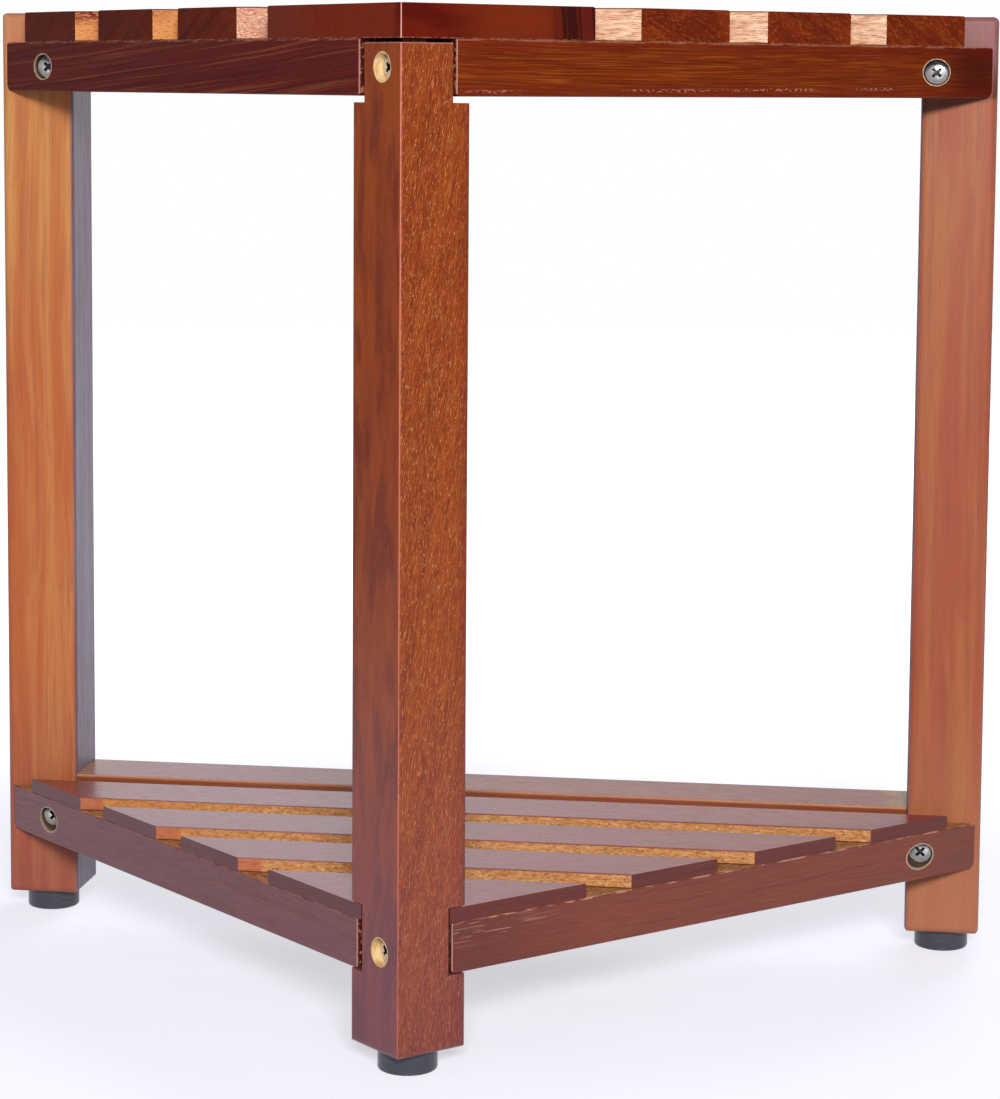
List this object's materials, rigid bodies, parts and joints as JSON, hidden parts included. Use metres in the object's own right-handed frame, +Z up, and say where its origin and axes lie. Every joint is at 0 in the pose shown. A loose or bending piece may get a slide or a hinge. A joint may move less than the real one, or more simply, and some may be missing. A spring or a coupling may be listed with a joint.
{
  "type": "corner shower stool",
  "caption": "Right-angled wooden corner stool for a shower: slatted seat, low slatted shelf, notched corner post, mitred rails, sunk chrome screws and round rubber feet.",
  "frame": {"origin": "On the floor, under the middle of the stool's bounding box.", "axes": "+Z up. X runs along the long rear edge, from the left leg (-X) to the right leg (+X), seen from the corner post. +Y points from the corner post to the rear edge."},
  "size_m": [0.4906, 0.279, 0.457],
  "materials": {
    "corner_post_wood": "satin varnish, reddish brown",
    "left_leg_wood": "satin varnish, orange tan",
    "right_leg_wood": "satin varnish, light reddish brown",
    "upper_left_rail_wood": "satin varnish, dark maroon",
    "upper_right_rail_wood": "satin varnish, warm brown",
    "lower_left_rail_wood": "satin varnish, purple brown",
    "lower_right_rail_wood": "satin varnish, red brown",
    "seat_wood": "satin varnish, dark red brown",
    "shelf_wood": "satin varnish, greyed purple brown",
    "shelf_board_wood": "satin varnish with bare golden patches",
    "dowel_wood": "bare wood",
    "foot_rubber": "matt black",
    "face_screw_metal": "polished",
    "hidden_screw_metal": "zinc plated"
  },
  "bodies": {
    "root": {"corner_leg": "corner_post_wood", "left_leg": "left_leg_wood", "right_leg": "right_leg_wood", "upper_left_rail": "upper_left_rail_wood", "upper_right_rail": "upper_right_rail_wood", "lower_left_rail": "lower_left_rail_wood", "lower_right_rail": "lower_right_rail_wood", "seat_slat_rear": "seat_wood", "seat_slat_middle": "seat_wood", "seat_slat_front": "seat_wood", "seat_corner_piece": "seat_wood", "seat_back_board": "seat_wood", "shelf_slat_rear": "shelf_wood", "shelf_slat_middle": "shelf_wood", "shelf_slat_front": "shelf_wood", "shelf_corner_slat": "shelf_wood", "shelf_back_board": "shelf_board_wood", "corner_foot": "foot_rubber", "left_foot": "foot_rubber", "right_foot": "foot_rubber", "leg_screws": "face_screw_metal", "post_screws": "face_screw_metal", "seat_screws": "hidden_screw_metal", "shelf_screws": "hidden_screw_metal", "foot_screws": "hidden_screw_metal", "rail_dowels": "dowel_wood", "board_dowels": "dowel_wood"}
  },
  "joints": []
}
